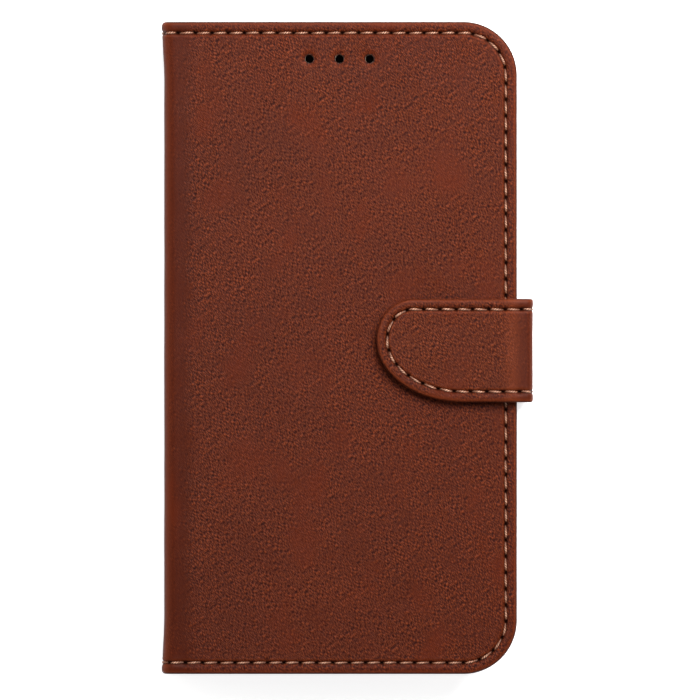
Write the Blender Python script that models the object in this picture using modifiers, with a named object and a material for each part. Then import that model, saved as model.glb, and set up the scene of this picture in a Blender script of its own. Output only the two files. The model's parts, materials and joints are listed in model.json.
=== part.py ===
"""Phone wallet case, closed and lying on its back cover.

A folio case in thin pull-up leather: a front cover and a back cover of board wrapped in one
skin, a spine between them, a moulded shell that grips the phone, a cash pocket and three card
pockets inside the front cover, and a magnetic strap that comes out of the back cover's seam,
goes round the free edge and lies on the front cover.

+X runs from the spine to the free edge, +Y to the top of the phone, +Z out of the front cover.
The origin is the middle of the case on the table. The covers turn about the two outer edges of
the spine; the strap turns at its root and where it comes over onto the front cover.
"""

import bpy
import bmesh
import math
from mathutils import Matrix, Vector

# Driving dimensions, in metres.
COVER_LENGTH = 0.1580  # along Y
COVER_WIDTH = 0.0860  # spine's outer face to the free edge
COVER_CORNER = 0.0130  # corners on the free edge
SPINE_CORNER = 0.0008  # corners at the spine
SPINE_DRAW = 0.00075  # how far the spine wall is drawn in from the covers' edges
STRAP_REACH = 0.0038  # how far the strap stands out past the free edge

PHONE_WIDTH = 0.0760
PHONE_LENGTH = 0.1510
PHONE_DEPTH = 0.0083
PHONE_CORNER = 0.0100

GAP = 0.0003  # between pieces that touch or pass
LAYER_GAP = 0.0002  # between sheets glued face to face

SKIN = 0.0008
BOARD = 0.0008
LINING = 0.0004
POCKET = 0.0004
ADHESIVE = 0.0002
ADHESIVE_INSET = 0.0030  # from the phone's outline
SHELL_WALL = 0.0015
SHELL_FLOOR = 0.0012
SHELL_LIP = 0.0010  # height of the lip over the phone's front edge
SHELL_LIP_REACH = 0.0012  # how far that lip comes in over the phone
SHELL_ROUNDING = 0.0009
STRAP_SKIN = 0.0007
STRAP_LINING = 0.0005
STRAP_CORE = 0.0008

TURNED_EDGE = 0.0033  # width of skin folded back over the board's edge
LINING_INSET = 0.0010
SEAM_INSET = 0.00275  # stitch line from the cover's edge
SPINE_BOARD = 0.0006
THREAD_RADIUS = 0.00025
GROOVE_RADIUS = 0.00045
SEAM_DEPTH = 0.0003  # thread's centre below the skin's face

SPEAKER_HOLE_RADIUS = 0.00105
SPEAKER_HOLE_PITCH = 0.0073
SPEAKER_HOLE_FROM_TOP = 0.0090

PORT_HALF_WIDTH = 0.0065
PORT_HALF_HEIGHT = 0.0030
PORT_ROUNDING = 0.0012
KEYS_ALONG_Y = (0.0190, 0.0530)
LOUDSPEAKER_OFFSET = 0.0170
LOUDSPEAKER_HALF_WIDTH = 0.0055
LOUDSPEAKER_HALF_HEIGHT = 0.0012
LOUDSPEAKER_ROUNDING = 0.0010

CAMERA_WINDOW = (0.0300, 0.0340)  # along X and Y
CAMERA_WINDOW_CORNER = 0.0080
CAMERA_WINDOW_FROM_SHELL = (0.0056, 0.0065)  # from the shell's +X and +Y faces
CAMERA_WINDOW_CLEARANCE = 0.0010  # of the adhesive sheet round that window

STRAP_HIGH_Y = 0.0119
STRAP_LOW_Y = -0.0132
STRAP_TIP_X = 0.0070
STRAP_TIP_Y = 0.0019
STRAP_UPPER_CURVE = 0.0089  # length along X of the curve above the tip
STRAP_LOWER_CURVE = 0.0210  # length along X of the longer curve below it
STRAP_SEAM_INSET = 0.0025
STRAP_ROOT_X = 0.0300  # inner end of the tab inside the back cover

CASH_POCKET_MOUTH = 0.0090  # pocket mouths, from the spine's outer face
CARD_POCKET_MOUTH = 0.0190
CARD_POCKET_STEP = 0.0090
CARD_POCKET_TOP = 0.0500
CARD_POCKETS = 3
CARD_POCKET_MOUTH_CORNER = 0.0005
CARD_POCKET_TOP_CORNER = 0.0020

MAGNET_RADIUS = 0.0045
MAGNET_CENTRES = (0.0190, 0.0305)
MAGNET_DROP = 0.0024  # the magnets' centres below the tip's outermost point
STIFFENER_FROM_SEAM = 0.0008
STIFFENER_FROM_EDGE = 0.0010
CLOSURE_PLATE = ((0.0125, -0.0075), (0.0365, 0.0065))
CLOSURE_PLATE_CORNER = 0.0010
CLOSURE_SPACE_CORNER = 0.0021

PIVOT_CLEARANCE = 0.0004  # fold lines lie this far outside the skins
ARC_STEPS = 8  # straight pieces to a quarter turn
SHELL_ARC_STEPS = 16
SMALL_CORNER = 0.0020  # corners up to this radius take two straight pieces

# Places that follow from them.
CASE_WIDTH = COVER_WIDTH + STRAP_REACH
X_SPINE = -CASE_WIDTH / 2
X_EDGE = X_SPINE + COVER_WIDTH
X_STRAP = CASE_WIDTH / 2
Y_TOP = COVER_LENGTH / 2
X_MIDDLE = (X_SPINE + X_EDGE) / 2
SHELL_HEIGHT = SHELL_FLOOR + PHONE_DEPTH + SHELL_LIP
SPINE_FACE = X_SPINE + SPINE_DRAW
SPINE_LAYERS = SKIN + LAYER_GAP + SPINE_BOARD + LAYER_GAP + LINING
STRAP_MIDDLE_Y = (STRAP_HIGH_Y + STRAP_LOW_Y) / 2

# Sheets of the closed case, from the table up: thickness and the gap above.
LAYERS = (
    ("back_cover_skin", SKIN, LAYER_GAP),
    ("back_cover_board", BOARD, LAYER_GAP),
    ("back_lining", LINING, LAYER_GAP),
    ("shell_adhesive_sheet", ADHESIVE, LAYER_GAP),
    ("phone_shell", SHELL_HEIGHT, GAP),
    ("card_pocket_1", POCKET, LAYER_GAP),
    ("card_pocket_2", POCKET, LAYER_GAP),
    ("card_pocket_3", POCKET, LAYER_GAP),
    ("cash_pocket_panel", POCKET, LAYER_GAP),
    ("front_lining", LINING, LAYER_GAP),
    ("front_cover_board", BOARD, LAYER_GAP),
    ("front_cover_skin", SKIN, LAYER_GAP),
    ("strap_lining", STRAP_LINING, LAYER_GAP),
    ("strap_stiffener", STRAP_CORE, LAYER_GAP),
    ("strap_skin", STRAP_SKIN, 0.0),
)

LEATHER = (0.140, 0.046, 0.027)
LINING_BROWN = (0.105, 0.046, 0.030)
THREAD_TAN = (0.600, 0.400, 0.270)
CARDBOARD = (0.330, 0.270, 0.200)
STEEL = (0.560, 0.570, 0.580)
SHELL_BLACK = (0.012, 0.012, 0.013)
ADHESIVE_WHITE = (0.700, 0.690, 0.650)


def stacked(layers):
    """Each sheet's lowest and highest Z."""
    levels = {}
    z = 0.0
    for name, thickness, gap in layers:
        levels[name] = (z, z + thickness)
        z += thickness + gap
    return levels


LEVEL = stacked(LAYERS)


# Collections, materials and objects.


def clear_scene():
    for obj in list(bpy.data.objects):
        bpy.data.objects.remove(obj, do_unlink=True)


def new_collection(name):
    collection = bpy.data.collections.new(name)
    bpy.context.scene.collection.children.link(collection)
    return collection


def give_material(obj, colour, roughness, metallic=0.0):
    material = bpy.data.materials.new(obj.name)
    material.use_nodes = True
    shader = material.node_tree.nodes["Principled BSDF"]
    shader.inputs["Base Color"].default_value = (*colour, 1.0)
    shader.inputs["Roughness"].default_value = roughness
    shader.inputs["Metallic"].default_value = metallic
    material.diffuse_color = (*colour, 1.0)
    obj.data.materials.clear()
    obj.data.materials.append(material)


def mesh_from_curve(curve_object, collection):
    """The curve as a mesh object in its place, with its caps welded on."""
    bpy.context.view_layer.update()
    evaluated = curve_object.evaluated_get(bpy.context.evaluated_depsgraph_get())
    mesh = bpy.data.meshes.new_from_object(evaluated)
    shape = bmesh.new()
    shape.from_mesh(mesh)
    bmesh.ops.remove_doubles(shape, verts=shape.verts, dist=1e-7)
    bmesh.ops.recalc_face_normals(shape, faces=shape.faces)
    shape.to_mesh(mesh)
    shape.free()
    name = curve_object.name
    place = curve_object.matrix_world.copy()
    bpy.data.objects.remove(curve_object, do_unlink=True)
    obj = bpy.data.objects.new(name, mesh)
    obj.matrix_world = place
    collection.objects.link(obj)
    return obj


def new_curve(name, dimensions):
    data = bpy.data.curves.new(name, "CURVE")
    data.dimensions = dimensions
    obj = bpy.data.objects.new(name, data)
    bpy.context.scene.collection.objects.link(obj)
    return obj


def add_poly(data, points, closed):
    spline = data.splines.new("POLY")
    spline.points.add(len(points) - 1)
    for place, point in zip(spline.points, points):
        x, y, *rest = point
        place.co = (x, y, rest[0] if rest else 0.0, 1.0)
    spline.use_cyclic_u = closed


def plate(name, outlines, level, collection):
    """A flat sheet: the first outline is its edge and the others are holes through it."""
    low, high = level
    obj = new_curve(name, "2D")
    obj.data.fill_mode = "BOTH"
    obj.data.extrude = (high - low) / 2
    obj.location.z = (low + high) / 2
    for outline in outlines:
        add_poly(obj.data, outline, closed=True)
    return mesh_from_curve(obj, collection)


def tube(name, path, radius, collection, resolution):
    """A round cord along a path of points."""
    obj = new_curve(name, "3D")
    obj.data.bevel_depth = radius
    obj.data.bevel_resolution = resolution
    obj.data.use_fill_caps = True
    add_poly(obj.data, path, closed=False)
    return mesh_from_curve(obj, collection)


def block(name, low, high, collection, rounding=0.0):
    """A box between two corners, with rounded edges if asked."""
    low, high = Vector(low), Vector(high)
    mesh = bpy.data.meshes.new(name)
    shape = bmesh.new()
    bmesh.ops.create_cube(shape, size=1.0)
    bmesh.ops.scale(shape, vec=high - low, verts=shape.verts)
    shape.to_mesh(mesh)
    shape.free()
    obj = bpy.data.objects.new(name, mesh)
    obj.location = (low + high) / 2
    collection.objects.link(obj)
    if rounding:
        round_edges(obj, rounding, 4)
    return obj


def disc(name, centre, radius, level, collection):
    low, high = level
    mesh = bpy.data.meshes.new(name)
    shape = bmesh.new()
    bmesh.ops.create_cone(
        shape,
        cap_ends=True,
        segments=4 * ARC_STEPS,
        radius1=radius,
        radius2=radius,
        depth=high - low,
    )
    shape.to_mesh(mesh)
    shape.free()
    obj = bpy.data.objects.new(name, mesh)
    obj.location = (*centre, (low + high) / 2)
    collection.objects.link(obj)
    mesh.shade_smooth()
    mesh.set_sharp_from_angle(angle=math.radians(40))
    return obj


def round_edges(obj, width, segments):
    bevel = obj.modifiers.new("rounded_edges", "BEVEL")
    bevel.width = width
    bevel.segments = segments
    bevel.limit_method = "ANGLE"
    bevel.angle_limit = math.radians(50)


def cut(obj, cutter):
    """Take the cutter's shape out of the object."""
    cutter.hide_render = True
    cutter.display_type = "WIRE"
    boolean = obj.modifiers.new("cut_" + cutter.name, "BOOLEAN")
    boolean.operation = "DIFFERENCE"
    boolean.solver = "EXACT"
    boolean.object = cutter


def pivot(name, place, parent, collection):
    """An empty on a fold line, which the pieces beyond that fold hang from."""
    empty = bpy.data.objects.new(name, None)
    empty.empty_display_size = 0.01
    empty.matrix_world = Matrix.Translation(place)
    collection.objects.link(empty)
    if parent:
        hang(empty, parent)
    return empty


def hang(obj, parent):
    bpy.context.view_layer.update()
    obj.parent = parent
    obj.matrix_parent_inverse = parent.matrix_world.inverted()


# Outlines, counter-clockwise in the XY plane.


def arc(centre, radii, start, end, steps=ARC_STEPS):
    """Points of an elliptical arc between two angles in degrees."""
    points = []
    for step in range(steps + 1):
        angle = math.radians(start + (end - start) * step / steps)
        points.append((centre[0] + radii[0] * math.cos(angle), centre[1] + radii[1] * math.sin(angle)))
    return points


def rounded_box(low, high, corners, corner_steps=ARC_STEPS):
    """A rectangle with its own corner radius at low-low, high-low, high-high and low-high."""
    signs = ((1, 1), (-1, 1), (-1, -1), (1, -1))
    places = (low, (high[0], low[1]), high, (low[0], high[1]))
    points = []
    for turn, (place, sign, radius) in enumerate(zip(places, signs, corners)):
        centre = (place[0] + sign[0] * radius, place[1] + sign[1] * radius)
        steps = corner_steps if radius > SMALL_CORNER else 2
        points += arc(centre, (radius, radius), 180 + 90 * turn, 270 + 90 * turn, steps)
    return points


def cover_outline(spine_x, inset):
    """The cover's outline drawn in by inset on its three free sides."""
    spine_corner = max(SPINE_CORNER - inset, 0.0002)
    edge_corner = COVER_CORNER - inset
    return rounded_box(
        (spine_x, inset - Y_TOP),
        (X_EDGE - inset, Y_TOP - inset),
        (spine_corner, edge_corner, edge_corner, spine_corner),
    )


def shell_outline(inset, corner):
    half_width = PHONE_WIDTH / 2 + SHELL_WALL - inset
    half_length = PHONE_LENGTH / 2 + SHELL_WALL - inset
    return rounded_box(
        (X_MIDDLE - half_width, -half_length),
        (X_MIDDLE + half_width, half_length),
        (corner,) * 4,
        SHELL_ARC_STEPS,
    )


def camera_outline(margin=0.0):
    """The window over the phone's camera, wider by margin on every side."""
    high_x = X_MIDDLE + PHONE_WIDTH / 2 + SHELL_WALL - CAMERA_WINDOW_FROM_SHELL[0]
    high_y = PHONE_LENGTH / 2 + SHELL_WALL - CAMERA_WINDOW_FROM_SHELL[1]
    return rounded_box(
        (high_x - CAMERA_WINDOW[0] - margin, high_y - CAMERA_WINDOW[1] - margin),
        (high_x + margin, high_y + margin),
        (CAMERA_WINDOW_CORNER + margin,) * 4,
    )


def circle(centre, radius, steps):
    return arc(centre, (radius, radius), 0, 360, steps)[:-1]


def speaker_outlines():
    """Three small holes in a row over the phone's earpiece."""
    y = Y_TOP - SPEAKER_HOLE_FROM_TOP
    return [
        circle((X_MIDDLE + place * SPEAKER_HOLE_PITCH, y), SPEAKER_HOLE_RADIUS, 12)
        for place in (-1, 0, 1)
    ]


def strap_tip_path(inset, end_x):
    """The strap's edge from its upper right end round the tip to its lower right end."""
    upper = arc(
        (STRAP_TIP_X + STRAP_UPPER_CURVE, STRAP_TIP_Y),
        (STRAP_UPPER_CURVE - inset, STRAP_HIGH_Y - STRAP_TIP_Y - inset),
        90,
        180,
    )
    lower = arc(
        (STRAP_TIP_X + STRAP_LOWER_CURVE, STRAP_TIP_Y),
        (STRAP_LOWER_CURVE - inset, STRAP_TIP_Y - STRAP_LOW_Y - inset),
        180,
        270,
    )
    return [(end_x, STRAP_HIGH_Y - inset), *upper, *lower[1:], (end_x, STRAP_LOW_Y + inset)]


def cover_seam_path(z, start_x):
    """The stitch line: along the top, down the free edge and back along the bottom."""
    reach = COVER_CORNER - SEAM_INSET
    corner_x = X_EDGE - COVER_CORNER
    corner_y = Y_TOP - COVER_CORNER
    upper = arc((corner_x, corner_y), (reach, reach), 90, 0)
    lower = arc((corner_x, -corner_y), (reach, reach), 0, -90)
    flat = [(start_x, Y_TOP - SEAM_INSET), *upper, *lower, (start_x, SEAM_INSET - Y_TOP)]
    return [(x, y, z) for x, y in flat]


def strap_seam_path(z, end_x):
    return [(x, y, z) for x, y in strap_tip_path(STRAP_SEAM_INSET, end_x)]


# Pieces.


def sew(name, skin, groove_path, thread_path, parts, cutters):
    """A thread sunk in a groove of the skin, which runs out past the thread's ends."""
    groove = tube(name + "_groove", groove_path, GROOVE_RADIUS, cutters, resolution=1)
    cut(skin, groove)
    thread = tube(name, thread_path, THREAD_RADIUS, parts, resolution=1)
    give_material(thread, THREAD_TAN, 0.7)
    return thread


def cover_skin(name, facing, holes, parts, cutters):
    """One cover's leather: a thin sheet that turns back over the board on three sides."""
    low, high = LEVEL[name]
    board_low, board_high = LEVEL[name.replace("skin", "board")]
    if facing < 0:
        level, hollow = (low, board_high), (high, board_high + SKIN)
    else:
        level, hollow = (board_low, high), (board_low - SKIN, low)
    skin = plate(name, [cover_outline(X_SPINE, 0.0), *holes], level, parts)
    give_material(skin, LEATHER, 0.5)
    inner = cover_outline(X_SPINE - SKIN, TURNED_EDGE)
    cut(skin, plate(name + "_board_space", [inner], hollow, cutters))
    clear_x = SPINE_FACE + SKIN + GAP
    crease = block(
        name + "_crease_space",
        (X_SPINE - SKIN, -COVER_LENGTH, hollow[0]),
        (clear_x, COVER_LENGTH, hollow[1]),
        cutters,
    )
    cut(skin, crease)
    face = low + SEAM_DEPTH if facing < 0 else high - SEAM_DEPTH
    stitching = name.replace("cover_skin", "stitching")
    groove_path = cover_seam_path(face, X_SPINE - SKIN)
    thread_path = cover_seam_path(face, X_SPINE + GAP)
    return skin, sew(stitching, skin, groove_path, thread_path, parts, cutters)


def make_back_cover(parts, cutters):
    skin, stitching = cover_skin("back_cover_skin", -1, [camera_outline()], parts, cutters)
    spine_x = SPINE_FACE + SPINE_LAYERS + GAP
    board = plate(
        "back_cover_board",
        [cover_outline(spine_x, TURNED_EDGE + GAP), camera_outline(GAP)],
        LEVEL["back_cover_board"],
        parts,
    )
    give_material(board, CARDBOARD, 0.9)
    lining = plate(
        "back_lining",
        [cover_outline(SPINE_FACE + SKIN + GAP, LINING_INSET), camera_outline()],
        LEVEL["back_lining"],
        parts,
    )
    give_material(lining, LINING_BROWN, 0.7)
    tab_space = block(
        "strap_root_space",
        (STRAP_ROOT_X - GAP, STRAP_LOW_Y - GAP, LEVEL["back_cover_board"][0]),
        (X_STRAP, STRAP_HIGH_Y + GAP, LEVEL["back_lining"][0]),
        cutters,
    )
    cut(skin, tab_space)
    cut(board, tab_space)
    tab_high = LEVEL["back_cover_board"][1]
    tab = block(
        "strap_root_tab",
        (STRAP_ROOT_X, STRAP_LOW_Y, tab_high - STRAP_LINING),
        (X_STRAP, STRAP_HIGH_Y, tab_high),
        parts,
    )
    give_material(tab, LEATHER, 0.5)
    return [skin, stitching, board, lining, tab]


def make_shell(parts, cutters):
    """The moulded tray that grips the phone, with its lip, windows and slots."""
    low, high = LEVEL["phone_shell"]
    floor = low + SHELL_FLOOR
    bay_high = floor + PHONE_DEPTH
    half_length = PHONE_LENGTH / 2
    right_x = X_MIDDLE + PHONE_WIDTH / 2
    shell = plate("phone_shell", [shell_outline(0.0, PHONE_CORNER + SHELL_WALL)], (low, high), parts)
    give_material(shell, SHELL_BLACK, 0.45)
    round_edges(shell, SHELL_ROUNDING, 2)
    bay = plate("phone_bay", [shell_outline(SHELL_WALL, PHONE_CORNER)], (floor, bay_high), cutters)
    mouth_inset = SHELL_WALL + SHELL_LIP_REACH
    mouth = plate(
        "shell_mouth",
        [shell_outline(mouth_inset, PHONE_CORNER - SHELL_LIP_REACH)],
        (bay_high - SHELL_LIP, high + SHELL_LIP),
        cutters,
    )
    window = plate("camera_window", [camera_outline()], (low - SHELL_WALL, floor + SHELL_WALL), cutters)
    middle_z = floor + PHONE_DEPTH / 2
    port = block(
        "charging_port",
        (X_MIDDLE - PORT_HALF_WIDTH, -half_length - 2 * SHELL_WALL, middle_z - PORT_HALF_HEIGHT),
        (X_MIDDLE + PORT_HALF_WIDTH, -half_length + SHELL_WALL, middle_z + PORT_HALF_HEIGHT),
        cutters,
        rounding=PORT_ROUNDING,
    )
    keys = block(
        "side_keys",
        (right_x - SHELL_WALL, KEYS_ALONG_Y[0], middle_z - PORT_HALF_HEIGHT),
        (right_x + 2 * SHELL_WALL, KEYS_ALONG_Y[1], middle_z + PORT_HALF_HEIGHT),
        cutters,
        rounding=PORT_ROUNDING,
    )
    slots = []
    for side in (-1, 1):
        centre = X_MIDDLE + side * LOUDSPEAKER_OFFSET
        low_z, high_z = middle_z - LOUDSPEAKER_HALF_HEIGHT, middle_z + LOUDSPEAKER_HALF_HEIGHT
        slots.append(
            block(
                f"loudspeaker_slot_{'left' if side < 0 else 'right'}",
                (centre - LOUDSPEAKER_HALF_WIDTH, -half_length - 2 * SHELL_WALL, low_z),
                (centre + LOUDSPEAKER_HALF_WIDTH, -half_length + SHELL_WALL, high_z),
                cutters,
                rounding=LOUDSPEAKER_ROUNDING,
            )
        )
    for cutter in (bay, mouth, window, port, keys, *slots):
        cut(shell, cutter)
    return shell


def make_adhesive(parts):
    """The sheet that bonds the shell to the back lining."""
    outline = shell_outline(SHELL_WALL + ADHESIVE_INSET, PHONE_CORNER - ADHESIVE_INSET)
    sheet = plate(
        "shell_adhesive_sheet",
        [outline, camera_outline(CAMERA_WINDOW_CLEARANCE)],
        LEVEL["shell_adhesive_sheet"],
        parts,
    )
    give_material(sheet, ADHESIVE_WHITE, 0.8)
    return sheet


def make_spine(parts):
    """The wall between the two folds: skin outside, board and lining behind it."""
    skin_low = LEVEL["back_cover_skin"][1] + GAP
    skin_high = LEVEL["front_cover_skin"][0] - GAP
    skin = block(
        "spine_skin",
        (SPINE_FACE, -Y_TOP, skin_low),
        (SPINE_FACE + SKIN, Y_TOP, skin_high),
        parts,
    )
    give_material(skin, LEATHER, 0.5)
    inner_low = LEVEL["back_lining"][1] + GAP
    inner_high = LEVEL["front_lining"][0] - GAP
    board_x = SPINE_FACE + SKIN + LAYER_GAP
    board_y = Y_TOP - TURNED_EDGE - GAP
    board = block(
        "spine_board",
        (board_x, -board_y, inner_low),
        (board_x + SPINE_BOARD, board_y, inner_high),
        parts,
    )
    give_material(board, CARDBOARD, 0.9)
    lining_x = board_x + SPINE_BOARD + LAYER_GAP
    lining_y = Y_TOP - LINING_INSET
    lining = block(
        "spine_lining",
        (lining_x, -lining_y, inner_low),
        (lining_x + LINING, lining_y, inner_high),
        parts,
    )
    give_material(lining, LINING_BROWN, 0.7)
    return [skin, board, lining]


def make_front_cover(parts, cutters):
    holes = speaker_outlines()
    skin, stitching = cover_skin("front_cover_skin", 1, holes, parts, cutters)
    plate_low, plate_high = CLOSURE_PLATE
    around_plate = rounded_box(
        (plate_low[0] - GAP, plate_low[1] - GAP),
        (plate_high[0] + GAP, plate_high[1] + GAP),
        (CLOSURE_SPACE_CORNER,) * 4,
    )
    spine_x = SPINE_FACE + SPINE_LAYERS + GAP
    board = plate(
        "front_cover_board",
        [cover_outline(spine_x, TURNED_EDGE + GAP), *holes, around_plate],
        LEVEL["front_cover_board"],
        parts,
    )
    give_material(board, CARDBOARD, 0.9)
    closure = plate(
        "closure_plate",
        [rounded_box(plate_low, plate_high, (CLOSURE_PLATE_CORNER,) * 4)],
        LEVEL["front_cover_board"],
        parts,
    )
    give_material(closure, STEEL, 0.35, metallic=1.0)
    lining = plate(
        "front_lining",
        [cover_outline(SPINE_FACE + SKIN + GAP, LINING_INSET), *holes],
        LEVEL["front_lining"],
        parts,
    )
    give_material(lining, LINING_BROWN, 0.7)
    cash = plate(
        "cash_pocket_panel",
        [cover_outline(X_SPINE + CASH_POCKET_MOUTH, LINING_INSET), *holes],
        LEVEL["cash_pocket_panel"],
        parts,
    )
    give_material(cash, LINING_BROWN, 0.7)
    return [skin, stitching, board, closure, lining, cash, *make_card_pockets(parts)]


def make_card_pockets(parts):
    """Panels whose mouths step away from the spine, so that each card's edge shows."""
    pockets = []
    edge_corner = COVER_CORNER - LINING_INSET
    for number in range(1, CARD_POCKETS + 1):
        step = CARD_POCKETS - number
        mouth_x = X_SPINE + CARD_POCKET_MOUTH + step * CARD_POCKET_STEP
        outline = rounded_box(
            (mouth_x, LINING_INSET - Y_TOP),
            (X_EDGE - LINING_INSET, CARD_POCKET_TOP),
            (CARD_POCKET_MOUTH_CORNER, edge_corner, CARD_POCKET_MOUTH_CORNER, CARD_POCKET_TOP_CORNER),
        )
        name = f"card_pocket_{number}"
        pocket = plate(name, [outline], LEVEL[name], parts)
        give_material(pocket, LINING_BROWN, 0.7)
        pockets.append(pocket)
    return pockets


def make_strap_side(parts):
    """The stretch of strap that stands beside the free edge."""
    low = LEVEL["back_cover_board"][1] + GAP
    skin = block(
        "strap_side_skin",
        (X_STRAP - STRAP_SKIN, STRAP_LOW_Y, low),
        (X_STRAP, STRAP_HIGH_Y, LEVEL["strap_skin"][0] - GAP),
        parts,
    )
    give_material(skin, LEATHER, 0.5)
    lining_x = X_STRAP - STRAP_SKIN - LAYER_GAP
    lining = block(
        "strap_side_lining",
        (lining_x - STRAP_LINING, STRAP_LOW_Y, low),
        (lining_x, STRAP_HIGH_Y, LEVEL["strap_lining"][0] - GAP),
        parts,
    )
    give_material(lining, LINING_BROWN, 0.7)
    return [skin, lining]


def make_strap_tip(parts, cutters):
    """The stretch that lies on the front cover, with its stiffener and magnets."""
    skin = plate("strap_skin", [strap_tip_path(0.0, X_STRAP)], LEVEL["strap_skin"], parts)
    give_material(skin, LEATHER, 0.5)
    lining_x = X_STRAP - STRAP_SKIN - LAYER_GAP
    lining = plate("strap_lining", [strap_tip_path(0.0, lining_x)], LEVEL["strap_lining"], parts)
    give_material(lining, LINING_BROWN, 0.7)
    core_level = LEVEL["strap_stiffener"]
    magnet_y = STRAP_TIP_Y - MAGNET_DROP
    seats = [circle((x, magnet_y), MAGNET_RADIUS + GAP, 4 * ARC_STEPS) for x in MAGNET_CENTRES]
    stiffener = plate(
        "strap_stiffener",
        [strap_tip_path(STRAP_SEAM_INSET + STIFFENER_FROM_SEAM, X_EDGE - STIFFENER_FROM_EDGE), *seats],
        core_level,
        parts,
    )
    give_material(stiffener, CARDBOARD, 0.9)
    pieces = [skin, lining, stiffener]
    for number, x in enumerate(MAGNET_CENTRES, start=1):
        magnet = disc(f"strap_magnet_{number}", (x, magnet_y), MAGNET_RADIUS, core_level, parts)
        give_material(magnet, STEEL, 0.3, metallic=1.0)
        pieces.append(magnet)
    seam_z = LEVEL["strap_skin"][1] - SEAM_DEPTH
    groove_path = strap_seam_path(seam_z, X_STRAP + SKIN)
    thread_path = strap_seam_path(seam_z, X_STRAP - GAP)
    pieces.append(sew("strap_stitching", skin, groove_path, thread_path, parts, cutters))
    return pieces


def main():
    clear_scene()
    parts = new_collection("phone_wallet_case")
    cutters = new_collection("cutters")
    case_high = LEVEL["front_cover_skin"][1]
    spine_fold_x = X_SPINE - PIVOT_CLEARANCE
    strap_fold_x = X_STRAP + PIVOT_CLEARANCE
    tab_low = LEVEL["back_cover_board"][1] - STRAP_LINING
    strap_high = LEVEL["strap_skin"][1]

    make_back_cover(parts, cutters)
    make_adhesive(parts)
    make_shell(parts, cutters)

    back_fold = pivot("back_fold", (spine_fold_x, 0.0, -PIVOT_CLEARANCE), None, parts)
    for piece in make_spine(parts):
        hang(piece, back_fold)
    front_fold_place = (spine_fold_x, 0.0, case_high + PIVOT_CLEARANCE)
    front_fold = pivot("front_fold", front_fold_place, back_fold, parts)
    for piece in make_front_cover(parts, cutters):
        hang(piece, front_fold)

    root_place = (strap_fold_x, STRAP_MIDDLE_Y, tab_low - PIVOT_CLEARANCE)
    strap_root = pivot("strap_root", root_place, None, parts)
    for piece in make_strap_side(parts):
        hang(piece, strap_root)
    bend_place = (strap_fold_x, STRAP_MIDDLE_Y, strap_high + PIVOT_CLEARANCE)
    strap_bend = pivot("strap_bend", bend_place, strap_root, parts)
    for piece in make_strap_tip(parts, cutters):
        hang(piece, strap_bend)


main()
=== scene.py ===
"""Looks of the phone wallet case: leather, lining, pockets, shell, thread and strap, laid
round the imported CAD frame. Everything is in metres, in the frame's own axes.

A sheet is first made flat, as it would lie on the cutting table, with its edges rolled under.
It is then laid along a fold line in the XZ plane, which takes it round the spine or round the
free edge. Its flat coordinates stay on it as a UV map, so that the grain never slides.
"""

import json
import math

import bmesh
import bpy
import numpy as np
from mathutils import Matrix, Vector


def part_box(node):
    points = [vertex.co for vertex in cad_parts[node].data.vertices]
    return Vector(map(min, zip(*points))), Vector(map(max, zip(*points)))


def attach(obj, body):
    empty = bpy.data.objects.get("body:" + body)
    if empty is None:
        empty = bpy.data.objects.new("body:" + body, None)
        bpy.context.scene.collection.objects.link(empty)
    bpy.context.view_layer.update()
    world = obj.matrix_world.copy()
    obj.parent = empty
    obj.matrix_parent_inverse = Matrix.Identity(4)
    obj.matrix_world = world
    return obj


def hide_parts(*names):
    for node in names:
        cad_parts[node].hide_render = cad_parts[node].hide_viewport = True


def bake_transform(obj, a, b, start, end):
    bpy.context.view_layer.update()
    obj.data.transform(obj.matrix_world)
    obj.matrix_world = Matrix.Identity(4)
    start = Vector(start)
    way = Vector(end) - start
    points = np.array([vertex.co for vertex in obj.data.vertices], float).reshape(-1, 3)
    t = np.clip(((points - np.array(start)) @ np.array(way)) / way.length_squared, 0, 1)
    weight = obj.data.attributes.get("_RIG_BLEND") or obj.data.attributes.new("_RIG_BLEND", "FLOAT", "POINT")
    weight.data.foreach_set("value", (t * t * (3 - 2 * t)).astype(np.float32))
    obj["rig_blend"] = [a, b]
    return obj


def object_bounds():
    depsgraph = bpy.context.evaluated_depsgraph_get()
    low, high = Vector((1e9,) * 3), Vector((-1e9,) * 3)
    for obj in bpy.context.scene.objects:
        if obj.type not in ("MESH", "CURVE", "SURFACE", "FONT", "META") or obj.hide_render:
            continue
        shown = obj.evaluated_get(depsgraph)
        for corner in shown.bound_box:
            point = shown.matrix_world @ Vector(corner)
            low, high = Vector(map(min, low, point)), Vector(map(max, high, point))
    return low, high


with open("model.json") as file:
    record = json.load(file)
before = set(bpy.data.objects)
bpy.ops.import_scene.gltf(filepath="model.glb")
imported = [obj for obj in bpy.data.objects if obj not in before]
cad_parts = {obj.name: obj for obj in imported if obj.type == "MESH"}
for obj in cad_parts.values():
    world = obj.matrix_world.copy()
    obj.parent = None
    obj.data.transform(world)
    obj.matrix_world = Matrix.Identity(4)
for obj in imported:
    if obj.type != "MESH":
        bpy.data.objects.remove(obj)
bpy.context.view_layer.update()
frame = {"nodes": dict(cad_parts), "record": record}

MM = 0.001

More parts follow.
